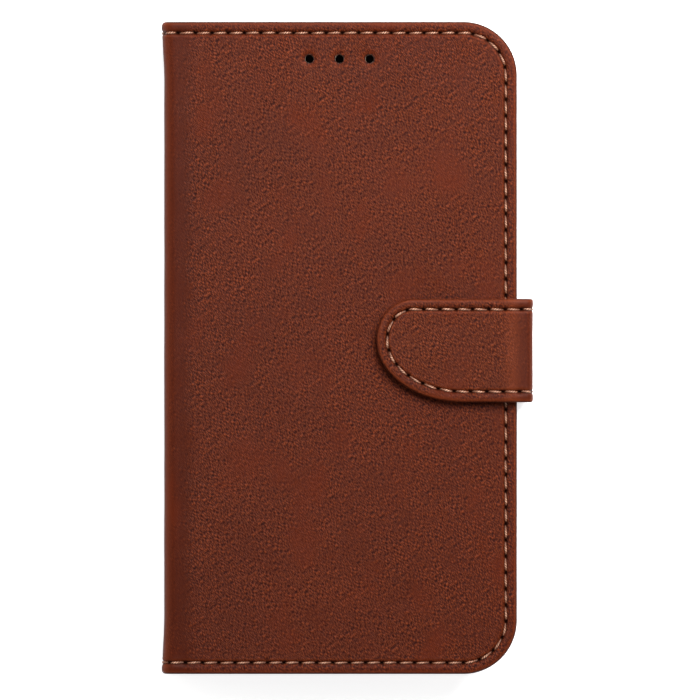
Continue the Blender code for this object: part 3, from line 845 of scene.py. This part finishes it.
SPINE_FACE = X_SPINE + SPINE_FLARE
TOP_RUN = X_EDGE - SPINE_FACE - FOLD_RADIUS
SIDE_RUN = HALF_SPINE - FOLD_RADIUS
COVER_END = TOP_RUN + quarter(FOLD_RADIUS, 90)[0] + SIDE_RUN
FRONT_FOLD = Fold(
    (X_EDGE, Z_FRONT),
    180,
    [(TOP_RUN, 0), quarter(FOLD_RADIUS, 90), (SIDE_RUN, 0)],
    side=-1,
    calm_before=6.5 * MM,
)
BACK_FOLD = Fold((X_EDGE, 0.0), 180, [(TOP_RUN, 0), quarter(FOLD_RADIUS, -90), (SIDE_RUN, 0)], side=1)


def flared(places):
    """The spine spreads a little at both ends, where the seam crosses it."""
    end = smooth((np.abs(places[:, 1]) - Y_TOP + FLARE_LENGTH) / FLARE_LENGTH)
    near = smooth(1 - (places[:, 0] - SPINE_FACE) / (9 * MM))
    places = places.copy()
    places[:, 0] -= SPINE_FLARE * end * near
    return places


def speaker_centres():
    y = Y_TOP - SPEAKER_FROM_TOP
    return [(X_EDGE - X_MIDDLE - k * SPEAKER_PITCH, y) for k in (-1, 0, 1)]


def front_relief(s, y, inset, along):
    height = seam_relief(inset, along) + 0.05 * MM * ripple(s, y, 0.034, 0.6)
    height = height - 0.07 * MM * bell(s - TOP_RUN + 2.6 * MM, 1.9 * MM)
    for centre in speaker_centres():
        gap = np.maximum(np.hypot(s - centre[0], y - centre[1]) - SPEAKER_RADIUS, 0)
        height = height - 0.42 * MM * bell(gap, 0.75 * MM) - 0.10 * MM * bell(gap, 2.0 * MM)
    return height


def front_paint(s, y, inset, along):
    wear, shade = seam_paint(inset, along)
    # Painted shade: a dark line along the very edge.
    shade = shade - 0.45 * bell(inset, 0.26 * MM)
    # Painted reflection: a pale sheen round the spine's fold.
    wear = wear + 0.75 * bell(s - TOP_RUN - 2.3 * MM, 1.1 * MM)
    # Darker along a band on the cover's side of the fold, over its shallow dip.
    shade = shade - 0.10 * bell(s - TOP_RUN + 2.2 * MM, 1.7 * MM)
    for centre in speaker_centres():
        gap = np.hypot(s - centre[0], y - centre[1]) - SPEAKER_RADIUS
        # Painted shade on each speaker hole's wall, and a lighter ring round it.
        shade = shade - 0.8 * bell(np.minimum(gap, 0.0), 5 * MM) * (gap < 0.12 * MM)
        wear = wear + 0.25 * bell(gap - 0.9 * MM, 0.5 * MM)
    return wear, np.clip(shade, 0.02, 1.0)


OPENINGS = {opening["name"]: opening["box_m"] for opening in frame["record"]["physics"]["openings"]}
CAMERA_BOX = OPENINGS["camera_window"]
CAMERA_RADIUS = 0.0080
CAMERA_GROWN = 0.0026  # the stated opening is drawn in this far to clear the round corners


def camera_gap(start=0.0):
    """Distance outside the camera window, on a sheet whose s begins start in from the edge."""
    low, high = CAMERA_BOX
    edge = X_EDGE - start
    near = (edge - high[0] - CAMERA_GROWN, low[1] - CAMERA_GROWN)
    far = (edge - low[0] + CAMERA_GROWN, high[1] + CAMERA_GROWN)
    return box_gap(near, far, CAMERA_RADIUS)


def back_relief(s, y, inset, along):
    rim = np.maximum(camera_gap()(s, y), 0)
    return (
        seam_relief(inset, along)
        + 0.05 * MM * ripple(s, y, 0.040, 2.1)
        - 0.40 * MM * bell(rim, 0.45 * MM)
        - 0.12 * MM * bell(rim - 1.6 * MM, 0.35 * MM)
    )


def back_paint(s, y, inset, along):
    wear, shade = seam_paint(inset, along)
    rim = camera_gap()(s, y)
    # A lighter ring just outside the camera window, and painted shade in the groove round it.
    return wear + 0.5 * bell(rim - 0.6 * MM, 0.5 * MM), shade - 0.3 * bell(rim - 1.6 * MM, 0.35 * MM)


def pressed(places):
    """The back cover's flare, and the flat where the strap's root passes over its edge."""
    places = flared(places)
    low, high = STRAP_BOX[0].y, STRAP_BOX[1].y
    beside = np.maximum(low - places[:, 1], places[:, 1] - high)
    under = (1 - smooth(beside / (1.2 * MM))) * smooth((places[:, 0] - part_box("strap_root_tab")[0].x) / MM)
    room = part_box("strap_root_tab")[0].z - 0.08 * MM
    places[:, 2] *= 1 - under * (1 - room / EDGE_THICKNESS)
    return places


def make_covers():
    """The cover's one piece of leather, in two halves that meet down the middle of the spine."""
    front = Sheet(*cover_sides(COVER_END))
    mesh = front.mesh("cover_leather_front")
    for centre in speaker_centres():
        punch(mesh, circle_gap(centre, SPEAKER_RADIUS), refine=2, reach=2.6 * MM)
    grain = (0.0, -1.0)
    skin = laid("cover_leather_front", mesh, FRONT_FOLD, front_relief, front_paint, flared, grain=grain)
    dressed(skin, COVER)
    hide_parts("front_cover_skin", "spine_skin")
    seam = Seam(front.path, SEAM_INSET)
    thread = twisted_stitches("cover_thread_front", seam, FRONT_FOLD, 0.12 * MM, flared)
    dressed(thread, THREAD)
    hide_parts("front_stitching")
    start, end = fold_zone(Z_FRONT, -1)
    for piece in (skin, thread):
        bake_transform(piece, "front_cover", "spine", start, end)

    back = Sheet(*cover_sides(COVER_END))
    mesh = back.mesh("cover_leather_back")
    punch(mesh, camera_gap())
    grain = (-2 * COVER_END, 1.0)
    skin = laid("cover_leather_back", mesh, BACK_FOLD, back_relief, back_paint, pressed, grain=grain)
    dressed(skin, COVER)
    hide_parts("back_cover_skin", "spine_skin")
    seam = Seam(back.path, SEAM_INSET)
    thread = twisted_stitches("cover_thread_back", seam, BACK_FOLD, 0.30 * MM, flared)
    dressed(thread, THREAD)
    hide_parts("back_stitching")
    start, end = fold_zone(0.0, 1)
    for piece in (skin, thread):
        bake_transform(piece, "back_cover", "spine", start, end)


def fold_zone(z, up, reach=2.0 * MM):
    """The diagonal through a fold, from the cover's side of it to the spine's."""
    return (SPINE_FACE + reach, 0.0, z - up * reach), (SPINE_FACE - reach, 0.0, z + up * reach)


make_covers()


# The strap.

STRAP_TIP_X = STRAP_BOX[0].x
STRAP_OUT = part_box("strap_side_skin")[1].x
STRAP_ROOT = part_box("strap_root_tab")[0]
STRAP_SIDE = (STRAP_BOX[1].z - STRAP_ROOT.z) / 2 - STRAP_BEND_RADIUS
STRAP_TOP_RUN = STRAP_OUT - STRAP_TIP_X - STRAP_BEND_RADIUS
STRAP_ROOT_RUN = STRAP_OUT - STRAP_ROOT.x - STRAP_BEND_RADIUS
STRAP_QUARTER = quarter(STRAP_BEND_RADIUS, 90)[0]
STRAP_HALF = STRAP_TOP_RUN + STRAP_QUARTER + STRAP_SIDE
ROOT_HALF = STRAP_ROOT_RUN + STRAP_QUARTER + STRAP_SIDE
STRAP_FOLD = Fold(
    (STRAP_TIP_X, STRAP_BOX[1].z),
    0,
    [(STRAP_TOP_RUN, 0), quarter(STRAP_BEND_RADIUS, -90), (STRAP_SIDE, 0)],
    side=1,
)
ROOT_FOLD = Fold(
    (STRAP_ROOT.x, STRAP_ROOT.z),
    0,
    [(STRAP_ROOT_RUN, 0), quarter(STRAP_BEND_RADIUS, 90), (STRAP_SIDE, 0)],
    side=-1,
)
BEND_REACH = 0.0018  # half the width of each of the strap's bends


def strap_sides(end, inset=0.0):
    """The tip's outline in the flat, from the cut round to the cut."""
    high, low = STRAP_BOX[1].y - inset, STRAP_BOX[0].y + inset
    upper = (STRAP_UPPER_CURVE, STRAP_TIP_Y), (STRAP_UPPER_CURVE - inset, high - STRAP_TIP_Y)
    lower = (STRAP_LOWER_CURVE, STRAP_TIP_Y), (STRAP_LOWER_CURVE - inset, STRAP_TIP_Y - low)
    top = joined(line_side((end, high), (STRAP_UPPER_CURVE, high), (0, 1)), arc_side(*upper, 90, 140))
    left = joined(arc_side(*upper, 140, 180), arc_side(*lower, 180, 215))
    bottom = joined(arc_side(*lower, 215, 270), line_side((STRAP_LOWER_CURVE, low), (end, low), (0, -1)))
    return top, left, bottom


def tip_thin(s):
    """Full where the stiffener is, half as thick round the bend and down the side."""
    return 1 - 0.42 * smooth((s - STRAP_TOP_RUN + 1.5 * MM) / (4.5 * MM))


def root_thin(s):
    """From the side's thickness down to the thin end inside the back cover."""
    return 0.26 + 0.32 * smooth((s - STRAP_ROOT_RUN) / (5.0 * MM))


def strap_relief(s, y, inset, along):
    """The seam, a slight crown, and the leather easing over the bend."""
    crown = 0.10 * MM * ripple(s, y, 0.019, 1.3)
    swell = 0.16 * MM * bell(s - STRAP_TOP_RUN + 2.6 * MM, 2.2 * MM)
    dip = 0.14 * MM * bell(s - STRAP_TOP_RUN + 0.2 * MM, 1.2 * MM)
    return seam_relief(inset, along, STRAP_SEAM_INSET) + crown + (swell - dip)


def root_relief(s, y, inset, along):
    hidden = smooth((s - STRAP_ROOT_RUN + 4 * MM) / (3 * MM))
    return hidden * seam_relief(inset, along, STRAP_SEAM_INSET)


def strap_paint(s, y, inset, along):
    wear, shade = seam_paint(inset, along, STRAP_SEAM_INSET)
    # Painted highlights on the swell just before the bend and along the bend's outermost line.
    highlight_before_bend = bell(s - STRAP_TOP_RUN + 3.0 * MM, 1.8 * MM)
    rubbed_and_highlit = bell(s - STRAP_TOP_RUN - 2.6 * MM, 0.9 * MM)
    return wear + 0.45 * highlight_before_bend + 0.6 * rubbed_and_highlit, shade


def root_paint(s, y, inset, along):
    return seam_paint(inset, along, STRAP_SEAM_INSET)


def plain(s, y, inset, along):
    return 0.02 * MM * ripple(s, y, 0.012, 0.4)


def unworn(s, y, inset, along):
    # A faint lighter band along the edge, and no painted shade.
    return 0.4 * bell(inset - 0.2 * MM, 0.4 * MM), np.ones_like(s)


def bend_zone(z, up, x):
    """The diagonal through one of the strap's bends, from the flat stretch to the side."""
    low, high = z - up * BEND_REACH, z + up * BEND_REACH
    return (x - BEND_REACH, 0.0, low), (x + BEND_REACH, 0.0, high)


STRAP_SHEET = {"band": BAND, "edge": STRAP_EDGE, "turned": TURNED_WIDTH, "seam": STRAP_SEAM_INSET}
UNDERSIDE_RADIUS = 1.0 * MM
UNDERSIDE = {"band": 0.0020, "thick": 0.00042, "edge": 0.00045, "seam": 0.0010}


def make_strap():
    """The strap's leather in two halves that meet on its side, its linings and its thread."""
    low, high = STRAP_BOX[0].y, STRAP_BOX[1].y
    tip_zone = bend_zone(STRAP_BOX[1].z, -1, STRAP_OUT)
    root_zone = bend_zone(STRAP_ROOT.z, 1, STRAP_OUT)

    tip = Sheet(*strap_sides(STRAP_HALF), **STRAP_SHEET)
    mesh = tip.mesh("strap_leather_tip")
    skin = laid("strap_leather_tip", mesh, STRAP_FOLD, strap_relief, strap_paint, thin=tip_thin)
    dressed(skin, STRAP)
    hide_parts("strap_skin", "strap_side_skin")
    seam = Seam(tip.path, STRAP_SEAM_INSET)
    thread = twisted_stitches("strap_thread_tip", seam, STRAP_FOLD, 0.12 * MM)
    dressed(thread, THREAD)
    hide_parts("strap_stitching")
    tip_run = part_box("strap_side_lining")[0].x - STRAP_TIP_X - UNDERSIDE_RADIUS
    tip_fold = Fold(
        (STRAP_TIP_X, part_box("strap_lining")[0].z),
        0,
        [(tip_run, 0), quarter(UNDERSIDE_RADIUS, -90), (STRAP_SIDE, 0)],
        side=-1,
    )
    under = Sheet(*strap_sides(tip_fold.length, STRAP_LINING_INSET), **UNDERSIDE)
    mesh = under.mesh("strap_underside_tip")
    lining = laid("strap_underside_tip", mesh, tip_fold, plain, unworn)
    dressed(lining, LINING)
    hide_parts("strap_lining", "strap_side_lining")
    for piece in (skin, thread, lining):
        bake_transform(piece, "strap_tip", "strap_side", *tip_zone)

    root = Sheet(*band_sides(ROOT_HALF, low, high, 1.0 * MM), **STRAP_SHEET)
    grain = (STRAP_HALF + ROOT_HALF, -1.0)
    mesh = root.mesh("strap_leather_root")
    skin = laid("strap_leather_root", mesh, ROOT_FOLD, root_relief, root_paint, thin=root_thin, grain=grain)
    dressed(skin, STRAP)
    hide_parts("strap_root_tab", "strap_side_skin")
    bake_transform(skin, "back_cover", "strap_side", *root_zone)
    shown = STRAP_ROOT_RUN - 1.5 * MM
    for side, edge in (("upper", high - STRAP_SEAM_INSET), ("lower", low + STRAP_SEAM_INSET)):
        path = line_side((ROOT_HALF, edge), (shown, edge), (0, 1))
        thread = twisted_stitches("strap_thread_root_" + side, Seam(path, 0.0), ROOT_FOLD, 0.10 * MM)
        dressed(thread, THREAD)
        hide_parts("strap_stitching")
        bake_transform(thread, "back_cover", "strap_side", *root_zone)
    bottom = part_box("strap_side_lining")[0].z
    half_way = STRAP_BOX[1].z - STRAP_BEND_RADIUS - STRAP_SIDE
    side_fold = Fold((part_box("strap_side_lining")[0].x, bottom), 90, [(half_way - bottom, 0)], side=1)
    inset = STRAP_LINING_INSET
    under = Sheet(*band_sides(side_fold.length, low + inset, high - inset, 0.6 * MM), **UNDERSIDE)
    mesh = under.mesh("strap_underside_root")
    lining = laid("strap_underside_root", mesh, side_fold, plain, unworn)
    dressed(lining, LINING)
    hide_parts("strap_side_lining")
    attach(lining, "strap_side")


make_strap()


# Inside: linings, pockets and the seam's inner side.

LINING_EDGE_X = X_EDGE - LINING_INSET
SPINE_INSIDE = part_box("spine_lining")[1].x
LINING_FILLET = 0.0012
LINING_SEAM = SEAM_INSET - LINING_INSET
LINING_REACH = 1.4 * MM  # half the width of a lining's fold
MOUTH_CORNER = 0.6 * MM  # corners of a pocket panel, at its mouth and at a card pocket's top
CARD_CORNER = 2.0 * MM


def lining_fold(z, turn, side):
    run = LINING_EDGE_X - SPINE_INSIDE - LINING_FILLET
    rise = abs(HALF_SPINE - z) - LINING_FILLET
    return Fold((LINING_EDGE_X, z), 180, [(run, 0), quarter(LINING_FILLET, turn), (rise, 0)], side)


def thin_relief(s, y, inset, along):
    """A seam pressed into thin material, with nothing deep enough to come through it."""
    seam = np.maximum(0.5 * seam_relief(inset, along, LINING_SEAM), -0.24 * MM)
    return seam + 0.03 * MM * ripple(s, y, 0.028, 0.9)


def thin_paint(s, y, inset, along):
    wear, shade = seam_paint(inset, along, LINING_SEAM)
    return 0.5 * wear, 0.35 + 0.65 * shade


LINING_SHEET = {"band": 0.0030, "thick": 0.00036, "edge": 0.00040, "seam": LINING_SEAM}


def make_lining(name, fold, holes, replaced, bodies, zone):
    mesh = Sheet(*cover_sides(fold.length, LINING_INSET), **LINING_SHEET).mesh(name)
    for gap, options in holes:
        punch(mesh, gap, **options)
    piece = laid(name, mesh, fold, thin_relief, thin_paint)
    dressed(piece, LINING)
    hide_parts(*replaced)
    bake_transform(piece, *bodies, *zone)


def panel_sides(end, high, corner):
    """A pocket panel's four sides, from its mouth at s = end round and back to it. corner is its
    radius at the free end's top; the bottom one follows the cover's corner."""
    low = LINING_INSET - Y_TOP
    mouth = MOUTH_CORNER
    mouth_high, mouth_low = (end - mouth, high - mouth), (end - mouth, low + mouth)
    free_high, free_low = (corner, high - corner), (LINING_CORNER, low + LINING_CORNER)
    small, upper, lower = (mouth, mouth), (corner, corner), (LINING_CORNER, LINING_CORNER)
    top = joined(
        arc_side(mouth_high, small, 45, 90),
        line_side((mouth_high[0], high), (free_high[0], high), (0, 1)),
        arc_side(free_high, upper, 90, 135),
    )
    left = joined(
        arc_side(free_high, upper, 135, 180),
        line_side((0.0, free_high[1]), (0.0, free_low[1]), (-1, 0)),
        arc_side(free_low, lower, 180, 225),
    )
    bottom = joined(
        arc_side(free_low, lower, 225, 270),
        line_side((free_low[0], low), (mouth_low[0], low), (0, -1)),
        arc_side(mouth_low, small, 270, 315),
    )
    right = joined(
        arc_side(mouth_low, small, 315, 360),
        line_side((end, mouth_low[1]), (end, mouth_high[1]), (1, 0)),
        arc_side(mouth_high, small, 0, 45),
    )
    return top, left, bottom, right


def make_panel(name, high, corner, holes):
    """One pocket panel, with a creased hem along its mouth."""
    low_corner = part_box(name)[0]
    end = LINING_EDGE_X - low_corner.x

    def relief(s, y, inset, along):
        crease = -0.10 * MM * bell(end - s - 2.6 * MM, 0.28 * MM)
        hem = crease + 0.04 * MM * smooth((s - end + 2.6 * MM) / (0.4 * MM))
        return thin_relief(s, y, inset, along) * smooth((end - s - 2 * MM) / MM) + hem

    def paint(s, y, inset, along):
        wear, shade = thin_paint(s, y, inset, along)
        away = smooth((end - s - 2 * MM) / MM)
        # Painted shade in the hem's crease, and a lighter band along the mouth's edge.
        crease = 0.35 * bell(end - s - 2.6 * MM, 0.3 * MM)
        rubbed_and_highlit = 0.55 * bell(end - s - 0.25 * MM, 0.4 * MM)
        return wear * away + rubbed_and_highlit, 1 - (1 - shade) * away - crease

    mesh = Sheet(*panel_sides(end, high, corner), **LINING_SHEET).mesh(name)
    for gap, options in holes:
        punch(mesh, gap, **options)
    fold = Fold((LINING_EDGE_X, low_corner.z), 180, [(end, 0)], side=1)
    piece = laid(name + "_leather", mesh, fold, relief, paint, grain=(0.0, -1.0))
    dressed(piece, POCKET)
    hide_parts(name)
    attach(piece, "front_cover")


def inner_sink(s, y):
    """How far below the lining's face the lowest panel puts the thread."""
    x = LINING_EDGE_X - s
    depth = np.zeros_like(x)
    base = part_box("front_lining")[0].z
    for name in ("cash_pocket_panel", "card_pocket_3", "card_pocket_2", "card_pocket_1"):
        low_corner, high_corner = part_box(name)
        over = (x > low_corner.x + 0.4 * MM) & (y < high_corner.y)
        depth = np.where(over, base - low_corner.z, depth)
    return 0.14 * MM - depth


def make_inside():
    options = {"refine": 2, "reach": 2 * MM}
    centres = [(s - LINING_INSET, y) for s, y in speaker_centres()]
    holes = [(circle_gap(centre, SPEAKER_RADIUS), options) for centre in centres]
    front = lining_fold(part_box("front_lining")[0].z, 90, 1)
    back = lining_fold(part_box("back_lining")[1].z, -90, -1)
    front_zone = fold_zone(Z_FRONT, -1, LINING_REACH)
    back_zone = fold_zone(0.0, 1, LINING_REACH)
    front_nodes, back_nodes = ("front_lining", "spine_lining"), ("back_lining", "spine_lining")
    make_lining("lining_front", front, holes, front_nodes, ("front_cover", "spine"), front_zone)
    window = [(camera_gap(LINING_INSET), {})]
    make_lining("lining_back", back, window, back_nodes, ("back_cover", "spine"), back_zone)
    make_panel("cash_pocket_panel", Y_TOP - LINING_INSET, LINING_CORNER, holes)
    for number in (3, 2, 1):
        name = f"card_pocket_{number}"
        make_panel(name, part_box(name)[1].y, CARD_CORNER, [])
    for name, fold, sink, bodies, zone, node in (
        ("inner_thread_front", front, inner_sink, ("front_cover", "spine"), front_zone, "front_stitching"),
        ("inner_thread_back", back, 0.14 * MM, ("back_cover", "spine"), back_zone, "back_stitching"),
    ):
        outline = cover_sides(fold.length, LINING_INSET)
        seam = Seam(Sheet(*outline, **LINING_SHEET).path, LINING_SEAM)
        thread = twisted_stitches(name, seam, fold, sink)
        dressed(thread, THREAD)
        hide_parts(node)
        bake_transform(thread, *bodies, *zone)


make_inside()


# The carried-over pieces.


def dress_carried():
    """Boards, film, steel and shell keep their CAD shape and get their materials."""
    board, film, steel, plastic = board_material(), adhesive_material(), steel_material(), shell_material()
    for names, material in (
        (("back_cover_board", "front_cover_board", "spine_board", "strap_stiffener"), board),
        (("shell_adhesive_sheet",), film),
        (("closure_plate", "strap_magnet_1", "strap_magnet_2"), steel),
        (("phone_shell",), plastic),
    ):
        for name in names:
            slots = frame["nodes"][name].data.materials
            slots.clear()
            slots.append(material)


dress_carried()


# Floor, light and camera.

PHOTO_CENTRE = (0.00064, -0.00051)
PHOTO_WIDTH = 0.16947  # what the picture's width covers at the front cover's face
CAMERA_HEIGHT = 2.0
SENSOR_WIDTH = 36.0  # in millimetres, as Blender takes it
FLOOR_SIZE = 6.0
FLOOR_GAP = 0.02 * MM
WORLD_STRENGTH = 0.075
BOX_SIZE = (1.6, 1.0)
LIGHTS = {  # place, size and watts; each faces the frame's origin
    "key": ((0.16, 0.27, 0.42), (0.38, 0.32), 6.9),
    "left_box": ((-1.10, 0.00, 0.60), BOX_SIZE, 8.5),
    "right_box": ((1.10, -0.20, 0.60), BOX_SIZE, 2.9),
    "near_box": ((0.00, -1.10, 0.60), BOX_SIZE, 3.0),
    "far_box": ((0.00, 1.10, 0.60), BOX_SIZE, 4.5),
}


def make_stage():
    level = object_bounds()[0][2] - FLOOR_GAP
    bpy.ops.mesh.primitive_plane_add(size=FLOOR_SIZE, location=(0, 0, level))
    floor = bpy.context.object
    floor.name = "floor"
    floor.data.materials.append(floor_material())


def area_light(name, place, size, power):
    data = bpy.data.lights.new(name, "AREA")
    data.shape = "RECTANGLE"
    data.size, data.size_y = size
    data.energy = power
    obj = bpy.data.objects.new(name, data)
    obj.location = place
    obj.rotation_euler = (-Vector(place)).to_track_quat("-Z", "Y").to_euler()
    bpy.context.scene.collection.objects.link(obj)


def make_lights():
    for name, (place, size, power) in LIGHTS.items():
        area_light(name, place, size, power)
    world = bpy.data.worlds.new("studio")
    world.use_nodes = True
    background = world.node_tree.nodes["Background"]
    background.inputs["Color"].default_value = (1.0, 1.0, 1.0, 1.0)
    background.inputs["Strength"].default_value = WORLD_STRENGTH
    bpy.context.scene.world = world
    bpy.context.scene.view_settings.view_transform = "Standard"


def make_camera():
    data = bpy.data.cameras.new("camera")
    data.sensor_width = SENSOR_WIDTH
    distance = CAMERA_HEIGHT - Z_FRONT
    data.lens = data.sensor_width * distance / PHOTO_WIDTH
    data.clip_end = 20.0
    camera = bpy.data.objects.new("camera", data)
    camera.location = (*PHOTO_CENTRE, CAMERA_HEIGHT)
    bpy.context.scene.collection.objects.link(camera)
    bpy.context.scene.camera = camera


make_stage()
make_lights()
make_camera()
